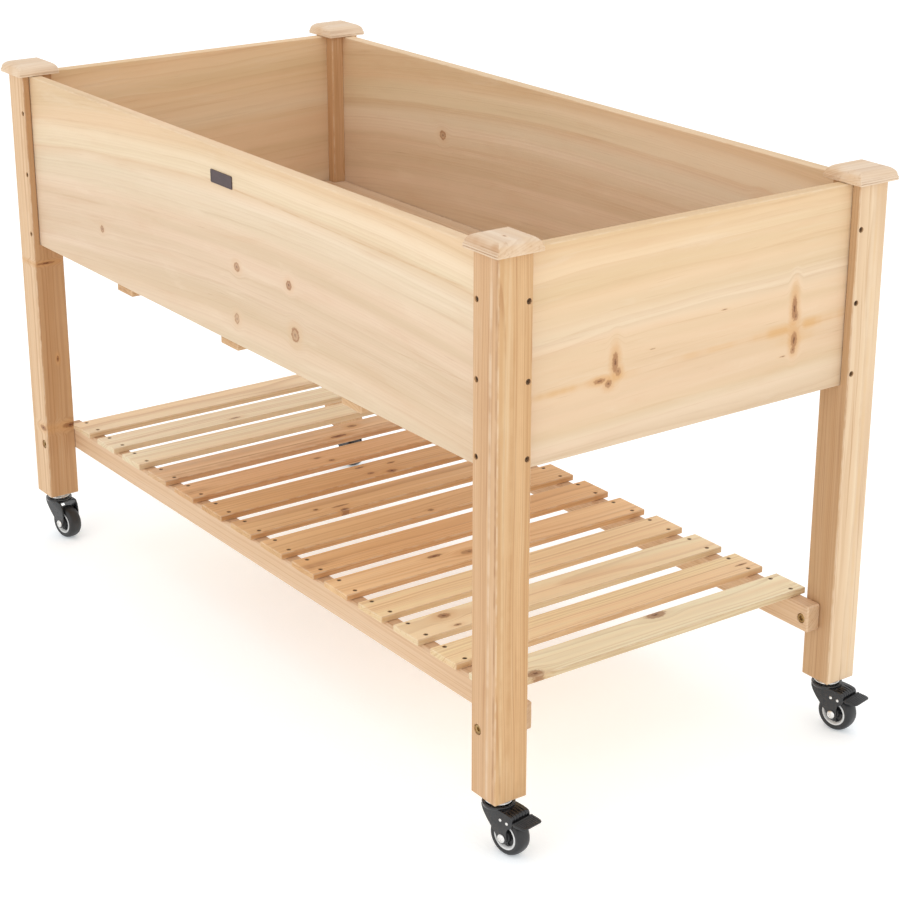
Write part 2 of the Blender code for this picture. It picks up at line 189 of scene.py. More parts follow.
def wood(name, axis, centre, half, pale, late, seed, pith=(0.05, 0.12), spacing=0.0032,
         contrast=0.5, bands=0.1, tilt=(0.0, 0.0), bow=(0.0, 0.0), knots=(), lines=(),
         tones=None, end=0.86, streaky=0.35, faces=(), blotchy=0.2):
    """Sawn softwood with its grain along one axis of the piece.

    knots: (along, across, face axis, half length, half width, core, ring, halo).
    lines: (from, to, across, face axis, slope, half width, strength, colour).
    tones: (axis, low, high, stops) gives a board's broad colour across its width.
    faces: (axis, sign, colour) multiplies the faces that look one way by a tint, a painted shade
    for faces that sit in shade.
    """
    s = Shader(name, roughness=0.6, specular=0.32)
    local = s.vec("SUBTRACT", s.place, tuple(centre))
    xyz = s.split(local)
    cross = [i for i in range(3) if i != axis]
    along = xyz[axis]
    flat = {axis: along, cross[0]: xyz[cross[0]], cross[1]: xyz[cross[1]]}
    shift = (seed * 3.17 % 9, seed * 5.71 % 9, seed * 7.13 % 9)

    def stretched(x, c, at):
        """The place squeezed x times along the grain and c times across it."""
        return s.vec("ADD", s.pack(s.mul(along, x), s.mul(at[cross[0]], c),
                                   s.mul(at[cross[1]], c)), shift)

    # slow wander of the grain, then knots push it aside
    wide = stretched(2.2, 9.0, flat)
    wander = s.node("ShaderNodeTexNoise", (("Vector", wide), ("Scale", 1.0),
                                           ("Detail", 2.0))).outputs["Color"]
    wander = s.split(s.vec("SUBTRACT", wander, (0.5, 0.5, 0.5)))
    moved = {}
    for k, c in enumerate(cross):
        value = s.add(flat[c], s.mul(wander[k], 0.016))
        if tilt[k]:
            value = s.sub(value, s.mul(along, tilt[k]))
        if bow[0] and k == 1:
            off = s.sub(along, bow[1])
            value = s.add(value, s.mul(s.mul(off, off), bow[0]))
        moved[c] = value

    core = ring = halo = dark = None

    def most(a, b):
        return b if a is None else s.math("MAXIMUM", a, b)

    jitter = s.sub(s.noise(local, 330.0, 3.0, 0.6), 0.5)
    for at, over, face, long_r, wide_r, core_k, ring_k, halo_k in knots:
        other = [c for c in cross if c != face][0]
        ds = s.math("DIVIDE", s.sub(along, at), long_r)
        dt = s.math("DIVIDE", s.sub(flat[other], over), wide_r)
        far = s.math("SQRT", s.add(s.mul(ds, ds), s.mul(dt, dt)))
        push = s.spread(far, 0.4, 4.0, 0.8, 0.0)
        offset = s.sub(flat[other], over)
        moved[other] = s.sub(moved[other], s.mul(offset, push))
        far = s.add(far, s.mul(jitter, 0.9))
        if core_k:
            core = most(core, s.spread(far, 1.05, 0.72, 0.0, core_k))
            dark = most(dark, s.spread(far, 0.42, 0.15, 0.0, core_k))
        if ring_k:
            edge = s.size(s.sub(far, 0.95))
            ring = most(ring, s.spread(edge, 0.3, 0.05, 0.0, ring_k))
        if halo_k:
            halo = most(halo, s.spread(far, 3.0, 0.9, 0.0, halo_k))

    # growth rings round the heart of the tree
    u = s.sub(moved[cross[0]], pith[0])
    v = s.sub(moved[cross[1]], pith[1])
    radius = s.math("SQRT", s.add(s.mul(u, u), s.mul(v, v)))
    uneven = s.mul(s.noise_line(s.add(radius, seed), 90.0, 2.0), 2.4)
    count = s.add(s.math("DIVIDE", radius, spacing), uneven)
    phase = s.math("FRACT", count)
    grown = s.mul(s.spread(phase, 0.3, 0.88), s.spread(phase, 1.0, 0.9))
    strength = s.spread(s.noise_line(s.add(count, seed * 3.3), 0.61, 1.0), 0.3, 0.68, 0.15, 1.0)
    grown = s.mul(grown, strength)

    # lengthwise bands and fibres
    broad = s.noise(stretched(0.9, 34.0, moved), 1.0, 2.0, 0.55)
    streak = s.noise(stretched(3.0, 210.0, moved), 1.0, 3.0, 0.62)
    fibre = s.noise(stretched(46.0, 1500.0, moved), 1.0, 2.0, 0.6)
    fleck = s.noise(stretched(9.0, 620.0, moved), 1.0, 2.0, 0.55)

    if tones is None:
        base = s.mix(s.spread(broad, 0.32, 0.68), pale, late)
        base = s.mix(bands * 4, pale, base)
    else:
        t_axis, low, high, stops = tones
        base = s.ramp(s.spread(moved[t_axis], low, high, smooth=False), stops)
        tint = s.spread(broad, 0.3, 0.7, 1.0 - bands * 0.5, 1.0 + bands * 0.25)
        base = s.mix(1.0, base, s.pack(tint, tint, s.math("POWER", tint, 1.6)), "MULTIPLY")
    depth = s.mul(grown, contrast)
    colour = s.stain(depth, base, rgb(226, 190, 150))
    thin = s.mul(s.spread(streak, 0.56, 0.74), streaky)
    colour = s.stain(thin, colour, rgb(222, 186, 148))
    light = s.mul(s.spread(streak, 0.42, 0.28), streaky * 0.6)
    colour = s.mix(light, colour, rgb(252, 232, 204))
    specks = s.mul(s.spread(fleck, 0.66, 0.8), 0.22)
    colour = s.stain(specks, colour, rgb(196, 160, 124))

    looks = s.split(s.normal)
    # soft patches where the plane lifted the grain
    patchy = s.noise(stretched(7.0, 48.0, moved), 1.0, 4.0, 0.62, 0.6)
    rosy = s.mul(s.spread(patchy, 0.5, 0.72), blotchy)
    colour = s.stain(rosy, colour, (0.96, 0.9, 0.86, 1.0))
    milky = s.mul(s.spread(patchy, 0.46, 0.28), blotchy * 0.5)
    colour = s.mix(milky, colour, rgb(250, 228, 200))
    for start, stop, over, face, slope, wide_r, force, tint in lines:
        other = [c for c in cross if c != face][0]
        seen = s.spread(s.size(looks[face]), 0.25, 0.5)
        track = s.sub(flat[other], over)
        if slope:
            track = s.sub(track, s.mul(along, slope))
        track = s.add(track, s.mul(wander[0], 0.006))
        body = s.spread(s.size(track), wide_r, wide_r * 0.15)
        ends = s.mul(s.spread(along, start - 0.02, start + 0.03),
                     s.spread(along, stop + 0.02, stop - 0.03))
        patch = s.mul(s.spread(streak, 0.3, 0.62, 0.55, 1.0),
                      s.spread(s.noise_line(s.add(along, over * 37), 26.0, 2.0),
                               0.32, 0.62, 0.35, 1.0))
        mask = s.mul(s.mul(body, ends), s.mul(patch, force))
        colour = s.mix(s.mul(mask, seen), colour, tint)
    # painted shade: darken and warm the faces that look one way
    for face, sign, tint in faces:
        seen = s.spread(s.mul(looks[face], sign), 0.35, 0.75)
        colour = s.stain(seen, colour, tint + (1.0,))

    if halo is not None:
        colour = s.mix(s.mul(halo, 0.55), colour, KNOT_HALO)
    if ring is not None:
        colour = s.mix(s.mul(ring, 0.75), colour, KNOT_CORE)
    if core is not None:
        colour = s.mix(s.math("POWER", core, 0.6), colour, KNOT_CORE)
        colour = s.mix(s.math("POWER", dark, 0.6), colour, KNOT_DARK)

    # end grain drinks more light, arrises are a touch paler from handling
    ends = s.spread(s.size(looks[axis]), 0.6, 0.9)
    colour = s.stain(ends, colour, (end, end * 0.95, end * 0.88, 1.0))
    gaps = [s.sub(h, s.size(xyz[i])) for i, h in enumerate(half)]
    first = s.math("MINIMUM", gaps[0], gaps[1])
    last = s.math("MAXIMUM", gaps[0], gaps[1])
    median = s.math("MAXIMUM", first, s.math("MINIMUM", last, gaps[2]))
    worn = s.mul(s.spread(median, 0.0022, 0.0004),
                 s.spread(s.noise(local, 60.0, 2.0), 0.35, 0.65, 0.1, 0.45))
    colour = s.mix(worn, colour, rgb(252, 230, 200))

    rough = s.sub(s.spread(fibre, 0.2, 0.8, 0.52, 0.7), s.mul(grown, 0.1))
    height = s.sub(s.add(s.mul(grown, 0.55), s.mul(fibre, 0.45)), specks)
    if core is not None:
        height = s.add(height, s.mul(core, 0.5))
    return s.finish(colour, rough, height, 0.00012)


# ---- other materials ----
def grainy(name, colour, other, roughness, metallic=0.0, scale=400.0, coat=0.0,
           depth=0.00006, specular=0.5, swing=0.1):
    """Paint, plating or plastic with fine mottling, scuffs and uneven gloss."""
    s = Shader(name, roughness, metallic, specular, coat)
    fine = s.noise(s.place, scale, 3.0, 0.55)
    slow = s.noise(s.place, scale / 14, 3.0, 0.6)
    scuff = s.noise(s.vec("MULTIPLY", s.place, (1.0, 1.0, 6.0)), scale / 4, 4.0, 0.7)
    base = s.mix(s.spread(slow, 0.35, 0.65), colour, other)
    worn = s.mul(s.spread(scuff, 0.62, 0.76), 0.35)
    base = s.mix(worn, base, tuple(min(1.0, c * 1.7 + 0.01) for c in other[:3]) + (1.0,))
    rough = s.spread(s.add(s.mul(slow, 0.6),
                           s.mul(scuff, 0.4)), 0.3, 0.7, roughness - swing, roughness + swing)
    return s.finish(base, rough, s.add(fine, s.mul(scuff, 0.4)), depth)


BLACK = grainy("black_enamel", (0.006, 0.006, 0.007, 1), (0.011, 0.011, 0.013, 1), 0.25,
               scale=900.0, coat=0.35, depth=0.00004)
PLATED = grainy("zinc_plating", (0.74, 0.73, 0.71, 1), (0.86, 0.85, 0.83, 1), 0.3, 0.85,
                scale=1500.0, depth=0.00002)
TREAD = grainy("wheel_tread", (0.012, 0.012, 0.013, 1), (0.021, 0.021, 0.022, 1), 0.42,
               scale=1300.0, depth=0.00005)
RING = grainy("wheel_ring", (0.6, 0.6, 0.59, 1), (0.7, 0.7, 0.69, 1), 0.38,
              scale=1200.0, depth=0.00003)
CORE = grainy("wheel_core", (0.01, 0.01, 0.011, 1), (0.018, 0.018, 0.019, 1), 0.4, scale=1000.0)
PEDAL = grainy("pedal_plastic", (0.01, 0.01, 0.011, 1), (0.018, 0.018, 0.019, 1), 0.34,
               scale=1100.0, depth=0.00005)
SCREW = grainy("bronzed_screw", (0.07, 0.034, 0.014, 1), (0.17, 0.092, 0.04, 1), 0.36, 0.55,
               scale=1800.0, depth=0.00003)
BRASS = grainy("yellow_zinc", (0.28, 0.165, 0.06, 1), (0.42, 0.27, 0.11, 1), 0.32, 0.9,
               scale=1400.0, depth=0.00003)
PLATE = grainy("dark_plate", (0.06, 0.036, 0.038, 1), (0.085, 0.055, 0.056, 1), 0.45, 0.35,
               scale=700.0, depth=0.00003)


# ---- mesh helpers ----
def link(name, data):
    item = bpy.data.objects.new(name, data)
    bpy.context.scene.collection.objects.link(item)
    return item


def mesh_from(name, bm):
    mesh = bpy.data.meshes.new(name)
    bm.to_mesh(mesh)
    bm.free()
    return mesh


def add_piece(name, bm, mat, body=PLANTER, replaces=(), smooth=40.0):
    """Make a mesh into a piece that rides on a body and stands for some CAD nodes."""
    bmesh.ops.recalc_face_normals(bm, faces=bm.faces)
    mesh = mesh_from(name, bm)
    mesh.materials.append(mat)
    piece = link(name, mesh)
    if smooth:
        shade(piece, smooth)
    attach(piece, body)
    if replaces:
        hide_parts(*replaces)
    return piece


def shade(piece, degrees):
    """Smooth faces that meet at less than this angle."""
    mesh = piece.data
    bm = bmesh.new()
    bm.from_mesh(mesh)
    for face in bm.faces:
        face.smooth = True
    for edge in bm.edges:
        edge.smooth = len(edge.link_faces) == 2 and edge.calc_face_angle(0) < radians(degrees)
    bm.to_mesh(mesh)
    bm.free()


def lathe(bm, profile, place=Matrix.Identity(4), steps=48):
    """Spin (radius, height) pairs round Z, then put them at place."""
    rings = []
    for r, h in profile:
        if r < 1e-7:
            rings.append([bm.verts.new(place @ Vector((0, 0, h)))])
        else:
            rings.append([bm.verts.new(place @ Vector((x, y, h))) for x, y in circle(r, steps)])
    pairs = list(zip(rings, rings[1:]))
    if len(rings[0]) > 1 and len(rings[-1]) > 1:
        pairs.append((rings[-1], rings[0]))
    for a, b in pairs:
        for i in range(steps if len(a) + len(b) > 2 else 0):
            j = (i + 1) % steps
            if len(a) == 1:
                bm.faces.new((a[0], b[j], b[i]))
            elif len(b) == 1:
                bm.faces.new((a[i], a[j], b[0]))
            else:
                bm.faces.new((a[i], a[j], b[j], b[i]))


def loft(bm, levels, place=Matrix.Identity(4)):
    """Skin a stack of matching outlines, (points, height) pairs, closed at both ends."""
    rings = [[bm.verts.new(place @ Vector((x, y, h))) for x, y in points] for points, h in levels]
    bm.faces.new(rings[0])
    bm.faces.new(rings[-1])
    for a, b in zip(rings, rings[1:]):
        for i in range(len(a)):
            j = (i + 1) % len(a)
            bm.faces.new((a[i], a[j], b[j], b[i]))


def prism(bm, outline, low, high, place=Matrix.Identity(4)):
    """A flat outline in x and y, drawn from z = low to z = high."""
    loft(bm, [(outline, low), (outline, high)], place)


def circle(radius, steps, offset=0.0):
    return [(radius * cos(tau * (i + offset) / steps),
             radius * sin(tau * (i + offset) / steps)) for i in range(steps)]


def rounded(wide, high, radius, steps):
    """A rectangle with rounded corners, reaching wide and high from its middle."""
    points = []
    for cx, cy, start in ((wide, high, 0), (-wide, high, 90), (-wide, -high, 180),
                          (wide, -high, 270)):
        for k in range(steps + 1):
            angle = radians(start + 90 / steps * k)
            points.append((cx - copysign(radius, cx) + radius * cos(angle),
                           cy - copysign(radius, cy) + radius * sin(angle)))
    return points


def facing(direction, at):
    """Matrix whose Z looks along direction, standing at a point."""
    turn = Vector(direction).to_track_quat("Z", "Y").to_matrix().to_4x4()
    return Matrix.Translation(Vector(at)) @ turn


def cad_copy(node):
    """A welded bmesh of a CAD node."""
    bm = bmesh.new()
    bm.from_mesh(frame["nodes"][node].data)
    bmesh.ops.remove_doubles(bm, verts=bm.verts, dist=1e-6)
    bmesh.ops.dissolve_limit(bm, angle_limit=radians(0.5), verts=bm.verts, edges=bm.edges)
    return bm


def carve(piece, holes, slots=()):
    """Cut round stepped holes, (place matrix, profile) pairs, and boxes into a piece."""
    bm = bmesh.new()
    for place, profile in holes:
        lathe(bm, profile, place, 20)
    for low, high in slots:
        corners = [(low[0], low[1]), (high[0], low[1]), (high[0], high[1]), (low[0], high[1])]
        prism(bm, corners, low[2], high[2])
    bmesh.ops.recalc_face_normals(bm, faces=bm.faces)
    tool = link("holes", mesh_from("holes", bm))
    mod = piece.modifiers.new("holes", "BOOLEAN")
    mod.object = tool
    mod.solver = "EXACT"
    graph = bpy.context.evaluated_depsgraph_get()
    done = bpy.data.meshes.new_from_object(piece.evaluated_get(graph))
    piece.modifiers.clear()
    piece.data = done
    bpy.data.objects.remove(tool)
    shade(piece, 35.0)


def mm(*points):
    return [tuple(v / 1000 for v in point) for point in points]


# holes for screws and bolts, in mm: (radius, height over the wood's face)
SCREW_HOLE = mm((0, -4.6), (3.4, -4.6), (3.5, -0.3), (4, 0.4), (4, 2), (0, 2))
SLAT_HOLE = mm((0, -2.6), (2.9, -2.6), (3.1, -0.2), (3.5, 0.3), (3.5, 2), (0, 2))
BOLT_HOLE = mm((0, -3.4), (6.7, -3.4), (6.7, -0.3), (7.1, 0.3), (7.1, 2), (0, 2))


def cross_recess_head(bm, place, radius, top):
    """Flat screw head with a cross cut into it."""
    steps = 32
    arm, slot, floor = radius * 0.62, radius * 0.17, top - radius * 0.45

    def star(scale):
        ring = []
        for x, y in circle(1.0, steps, 0.5):
            reach = min(arm, slot / max(1e-6, min(abs(x), abs(y))))
            reach = max(reach, slot * 1.25) * scale
            ring.append((reach * x, reach * y))
        return ring

    rows = ((0.55, 0.0016), (1.0, 0.0004), (0.97, 0.0001), (0.8, 0.0))
    loft(bm, [(circle(radius * k, steps, 0.5), top - down) for k, down in rows]
         + [(star(1.0), top), (star(0.55), floor)], place)


def hex_socket_bolt(bm, place, radius, top, socket=0.0025):
    """Low round bolt head with a hexagon socket."""
    steps = 36

    def hexagon(r):
        ring = []
        for i in range(steps):
            angle = tau * i / steps
            reach = r / cos((angle % (pi / 3)) - pi / 6)
            ring.append((reach * cos(angle), reach * sin(angle)))
        return ring

    rows = ((0.9, 0.0022), (1.0, 0.0014), (1.0, 0.0007), (0.9, 0.0001), (0.66, 0.0),
            (0.6, 0.0003))
    loft(bm, [(circle(radius * k, steps), top - down) for k, down in rows]
         + [(hexagon(socket * 1.12), top - 0.0003), (hexagon(socket), top - 0.0006),
            (hexagon(socket), top - 0.0021)], place)


# ---- wood of each piece ----
X, Y, Z = 0, 1, 2
PEACH, YELLOW = rgb(238, 209, 178), rgb(242, 209, 168)
BED_LOW, BED_HIGH = 0.4745, 0.727  # bottom and top of the panels


def ramp_stops(table):
    """Colour stops up the bed's side, from a table of heights and display colours."""
    return [((h - BED_LOW) / (BED_HIGH - BED_LOW), rgb(*c)) for h, c in table]


def panel_wood(node, seed):
    low, high, centre, half = span(node)
    if node in ("panel_front", "panel_back"):
        stops = ramp_stops((
            (0.476, (238, 214, 183)), (0.49, (237, 211, 180)), (0.515, (234, 205, 172)),
            (0.545, (237, 209, 179)), (0.59, (236, 207, 176)), (0.622, (237, 208, 176)),
            (0.64, (243, 218, 188)), (0.664, (247, 224, 195)), (0.681, (238, 208, 172)),
            (0.686, (247, 223, 189)), (0.705, (246, 221, 186)), (0.722, (240, 207, 167))))
        tones = (Z, BED_LOW - centre.z, BED_HIGH - centre.z, stops)
        knots, lines = (), ()
        if node == "panel_front":
            knots = [(x, z - centre.z, Y, a, b, c, r, h) for x, z, a, b, c, r, h in (
                (-0.346, 0.5456, 0.005, 0.0044, 0.35, 0.85, 0.25),
                (0.0294, 0.5796, 0.0062, 0.0056, 0.3, 0.8, 0.35),
                (0.1556, 0.5864, 0.0056, 0.0052, 0.45, 1.00, 0.35),
                (0.0255, 0.51, 0.0054, 0.0062, 0.15, 0.7, 0.25),
                (0.1678, 0.5254, 0.0082, 0.0082, 0.22, 1.00, 0.35))]
            lines = [
                (-0.05, 0.52, 0.68 - centre.z, Y, -0.012, 0.0016, 0.55, rgb(214, 172, 128)),
                (0.36, 0.55, 0.5525 - centre.z, Y, 0.028, 0.001, 0.45, rgb(212, 176, 140)),
                (0.13, 0.22, 0.56 - centre.z, Y, -0.1, 0.0012, 0.4, rgb(220, 184, 150))]
        else:
            knots = [(x, z - centre.z, Y, a, a * 0.9, 0.3, 0.9, 0.3) for x, z, a in (
                (-0.28, 0.62, 0.007), (0.12, 0.53, 0.005), (0.41, 0.66, 0.008))]
        return wood(node, X, centre, half, PEACH, YELLOW, seed, pith=(-0.02, -0.42),
                    spacing=0.0046, contrast=0.12, bands=0.16, bow=(0.1, 0.18),
                    knots=knots, lines=lines, tones=tones, streaky=0.14, blotchy=0.5)
    stops = ramp_stops((
        (0.476, (238, 210, 178)), (0.488, (240, 212, 180)), (0.5, (243, 216, 184)),
        (0.511, (237, 206, 168)), (0.535, (239, 207, 170)), (0.575, (242, 209, 171)),
        (0.606, (243, 211, 173)), (0.62, (247, 221, 188)), (0.636, (245, 215, 178)),
        (0.665, (242, 209, 167)), (0.695, (246, 215, 174)), (0.722, (243, 207, 163))))
    tones = (Z, BED_LOW - centre.z, BED_HIGH - centre.z, stops)
    knots, lines = (), ()
    if node == "panel_right":
        knots = [(y, z - centre.z, X, a, b, c, r, h) for y, z, a, b, c, r, h in (
            (-0.115, 0.574, 0.0042, 0.012, 0.55, 0.3, 0.9),
            (-0.1105, 0.5625, 0.004, 0.005, 0.35, 0.3, 0.9),
            (-0.124, 0.5505, 0.005, 0.0045, 0.45, 0.2, 0.8),
            (-0.137, 0.5562, 0.0085, 0.0032, 0.45, 0.1, 0.7),
            (0.158, 0.588, 0.004, 0.015, 0.6, 0.3, 1.0),
            (0.161, 0.578, 0.004, 0.006, 0.35, 0.2, 0.8),
            (0.1598, 0.548, 0.0048, 0.01, 0.5, 0.4, 1.0),
            (0.159, 0.536, 0.0036, 0.005, 0.35, 0.3, 0.8),
            (0.0465, 0.6067, 0.005, 0.0009, 0.3, 0.0, 0.2),
            (-0.0607, 0.5796, 0.0045, 0.0009, 0.25, 0.0, 0.2),
            (0.1427, 0.5309, 0.005, 0.001, 0.3, 0.0, 0.2))]
        lines = [
            (0.1, 0.24, 0.5612 - centre.z, X, 0.024, 0.0105, 0.62, RESIN),
            (0.13, 0.2, 0.548 - centre.z, X, 0.02, 0.012, 0.3, RESIN),
            (-0.03, 0.11, 0.5606 - centre.z, X, 0.022, 0.006, 0.3, RESIN),
            (-0.24, -0.09, 0.5578 - centre.z, X, 0.014, 0.008, 0.5, RESIN),
            (-0.24, 0.24, 0.6243 - centre.z, X, 0.034, 0.0012, 0.25, rgb(224, 184, 140)),
            (-0.24, 0.24, 0.4995 - centre.z, X, 0.028, 0.001, 0.25, rgb(226, 188, 146))]
    return wood(node, Y, centre, half, YELLOW, PEACH, seed, pith=(0.3, -0.05),
                spacing=0.005, contrast=0.15, bands=0.14, tilt=(0.0, 0.028),
                knots=knots, lines=lines, tones=tones, streaky=0.17, blotchy=0.4)


LEG_TONE = {
    "front_right": ((234, 195, 154), (220, 176, 130)),
    "front_left": ((240, 204, 163), (228, 187, 142)),
    "back_right": ((249, 222, 187), (238, 204, 163)),
    "back_left": ((234, 196, 154), (222, 180, 136)),
}


def leg_wood(corner, seed):
    low, high, centre, half = span(f"leg_{corner}")
    pale, late = (rgb(*c) for c in LEG_TONE[corner])
    knots, lines = [], []
    if corner == "front_right":
        edge = half.x
        lines = [
            (-0.34, 0.34, edge - 0.0035, Y, 0.0, 0.003, 0.75, rgb(176, 128, 84)),
            (-0.34, 0.34, edge - 0.0145, Y, 0.002, 0.0042, 0.55, rgb(247, 222, 190)),
            (-0.34, 0.2, edge - 0.023, Y, 0.0, 0.003, 0.45, rgb(206, 160, 116)),
            (-0.34, 0.34, -half.y + 0.008, X, 0.0, 0.0035, 0.55, rgb(246, 218, 182)),
            (-0.34, 0.25, -half.y + 0.019, X, 0.003, 0.0055, 0.55, rgb(208, 160, 112)),
            (-0.34, 0.34, half.y - 0.015, X, 0.0, 0.005, 0.4, rgb(246, 206, 164))]
    elif corner == "front_left":
        lines = [(-0.34, 0.34, half.x - 0.012, Y, 0.0, 0.004, 0.55, rgb(250, 216, 176)),
                 (-0.34, 0.34, half.x - 0.0035, Y, 0.0, 0.0022, 0.45, rgb(202, 158, 112))]
        knots = [(0.4457 - centre.z, -0.271 - centre.y, X, 0.0022, 0.015, 0.8, 0.2, 0.7),
                 (0.1841 - centre.z, -0.248 - centre.y, X, 0.0045, 0.013, 0.8, 0.2, 0.7),
                 (0.2935 - centre.z, 0.003, X, 0.005, 0.0022, 0.8, 0.2, 0.7),
                 (0.1841 - centre.z, 0.012, Y, 0.004, 0.01, 0.6, 0.2, 0.6)]
    elif corner == "back_right":
        lines = [(-0.34, 0.34, half.y - 0.014, X, 0.0, 0.005, 0.4, rgb(240, 200, 146)),
                 (-0.34, 0.34, 0.003, X, 0.0, 0.0045, 0.4, rgb(252, 228, 192))]
    else:
        knots = [(0.12, 0.004, X, 0.006, 0.005, 0.6, 0.8, 0.6)]
    # painted light and shade: leg faces that look into the shade under the bed are darkened, and
    # the near leg's right side is tinted a little darker and yellower for the light that falls on
    # it
    faces = {
        "front_right": ((X, 1, (0.95, 0.9, 0.77)),),
        "front_left": ((X, 1, (0.74, 0.63, 0.52)),),
        "back_right": ((Y, -1, (0.75, 0.64, 0.53)),),
        "back_left": ((X, 1, (0.95, 0.9, 0.84)), (Y, -1, (0.95, 0.9, 0.84))),
    }[corner]
    pith = {"front_right": (0.034, -0.022), "front_left": (0.06, 0.03),
            "back_right": (-0.08, 0.02), "back_left": (0.05, -0.06)}[corner]
    return wood(f"leg_{corner}", Z, centre, half, pale, late, seed, pith=pith,
                spacing=0.0034, contrast=0.42, bands=0.22, knots=knots, lines=lines,
                streaky=0.5, tilt=(0.003, -0.002), end=0.8, faces=faces)


SLAT_TONE = (
    ((231, 198, 165), (225, 190, 153)), ((236, 206, 176), (229, 197, 166)),
    ((235, 204, 173), (230, 197, 163)), ((215, 175, 136), (203, 156, 116)),
    ((211, 162, 118), (199, 150, 104)), ((208, 160, 112), (196, 146, 98)),
    ((213, 168, 122), (202, 156, 110)), ((216, 170, 123), (204, 158, 112)),
    ((216, 168, 120), (204, 154, 106)), ((228, 183, 138), (216, 170, 124)),
    ((234, 194, 152), (222, 178, 136)), ((240, 202, 166), (231, 190, 151)),
    ((237, 197, 155), (228, 186, 146)), ((243, 208, 176), (235, 195, 158)),
)
SLAT_GAIN = (1.24, 1.38, 1.45)
# knots seen on the slats: (slat, x, y, half length, half width, core, ring, halo)
SLAT_KNOTS = (
    (2, -0.4237, -0.0315, 0.01, 0.0028, 0.45, 0.0, 0.5),
    (4, -0.289, 0.0959, 0.008, 0.005, 0.5, 0.2, 0.9),
    (4, -0.264, 0.056, 0.014, 0.0045, 0.95, 0.3, 0.8),
    (5, -0.2045, -0.0201, 0.007, 0.003, 0.45, 0.2, 0.5),
    (5, -0.1852, -0.0065, 0.005, 0.0035, 0.5, 0.2, 0.5),
    (6, -0.1359, 0.0097, 0.008, 0.0028, 0.7, 0.2, 0.6),
    (6, -0.1081, 0.0116, 0.0055, 0.0038, 0.6, 0.3, 0.6),
    (6, -0.1268, 0.0591, 0.0075, 0.0026, 0.6, 0.2, 0.6),
    (6, -0.099, 0.042, 0.008, 0.0055, 0.7, 0.3, 0.9),
    (7, -0.0372, -0.1272, 0.004, 0.0032, 0.6, 0.3, 0.5),
    (7, -0.03, -0.0915, 0.015, 0.0025, 0.5, 0.0, 0.5),
    (7, -0.015, -0.0935, 0.007, 0.0045, 0.75, 0.3, 0.7),
    (8, 0.0559, 0.0028, 0.0045, 0.0035, 0.55, 0.3, 0.5),
    (10, 0.1893, -0.0844, 0.0115, 0.0042, 0.75, 0.2, 0.5),
    (10, 0.2031, -0.0381, 0.0115, 0.0055, 0.3, 0.4, 0.8),
    (12, 0.3469, -0.1804, 0.0085, 0.0062, 0.6, 0.4, 0.6),
    (12, 0.378, -0.1816, 0.006, 0.0028, 0.5, 0.2, 0.4),
    (13, 0.445, 0.2274, 0.011, 0.0022, 0.55, 0.0, 0.3),
    (14, 0.4979, 0.0359, 0.015, 0.0075, 0.55, 0.5, 0.3),
    (14, 0.5397, -0.1849, 0.011, 0.008, 0.6, 0.5, 0.3),
)


def slat_wood(number, seed):
    node = f"slat_{number:02d}"
    low, high, centre, half = span(node)
    pale, late = (rgb(*c, gain=SLAT_GAIN) for c in SLAT_TONE[number - 1])
    knots = [(y - centre.y, x + MID_X - centre.x, Z, a, b, c, r, h)
             for n, x, y, a, b, c, r, h in SLAT_KNOTS if n == number]
    lines = []
    if number == 4:
        lines = [(-0.25, 0.25, 0.0075, Z, -0.004, 0.0013, 0.8, rgb(178, 122, 78)),
                 (-0.25, 0.25, 0.016, Z, -0.002, 0.01, 0.45, rgb(204, 152, 106)),
                 (-0.25, 0.25, -0.013, Z, 0.0, 0.011, 0.55, rgb(226, 190, 154))]
    if number in (5, 9):
        lines = [(-0.26, -0.2, 0.004, Z, 0.0, 0.012, 0.55, rgb(176, 118, 70))]
    # painted shade: the slats' long sides, in shade between the slats, are darkened
    sides = (0.72, 0.62, 0.53)
    local = random.Random(100 + number)
    pith = (local.uniform(-0.05, 0.05), local.choice((-1, 1)) * local.uniform(0.03, 0.11))
    return wood(node, Y, centre, half, pale, late, seed, pith=pith,
                spacing=local.uniform(0.0028, 0.0046), contrast=0.42, bands=0.2,
                tilt=(local.uniform(-0.02, 0.02), 0.0), knots=knots, lines=lines,
                streaky=0.42, end=0.78, faces=((X, 1, sides), (X, -1, sides)))


def plain_wood(node, axis, seed, pale, late, contrast=0.35, pith=None, knots=(), end=0.82):
    low, high, centre, half = span(node)
    local = random.Random(300 + seed)
    pith = pith or (local.uniform(-0.08, 0.08), local.choice((-1, 1)) * local.uniform(0.03, 0.1))
    return wood(node, axis, centre, half, rgb(*pale), rgb(*late), seed, pith=pith,
                spacing=local.uniform(0.003, 0.0042), contrast=contrast, bands=0.18,
                knots=knots, streaky=0.35, end=end)


# ---- legs ----
def out_of(corner):
    return (1 if "right" in corner else -1), (-1 if "front" in corner else 1)


SCREW_Z = (0.6724, 0.5816, 0.4918)  # heights of the screws in each leg
BOLT_Z = 0.157  # height of the bolt that holds the shelf rail
LONG_SCREW_IN, SHORT_SCREW_IN = 0.0068, 0.0055  # screw lines from the leg's inner edges
BOLT_OUT = 0.011  # bolt from the leg's middle
HEAD_SINK, BOLT_SINK = -0.0014, -0.0009  # head tops under the leg's face


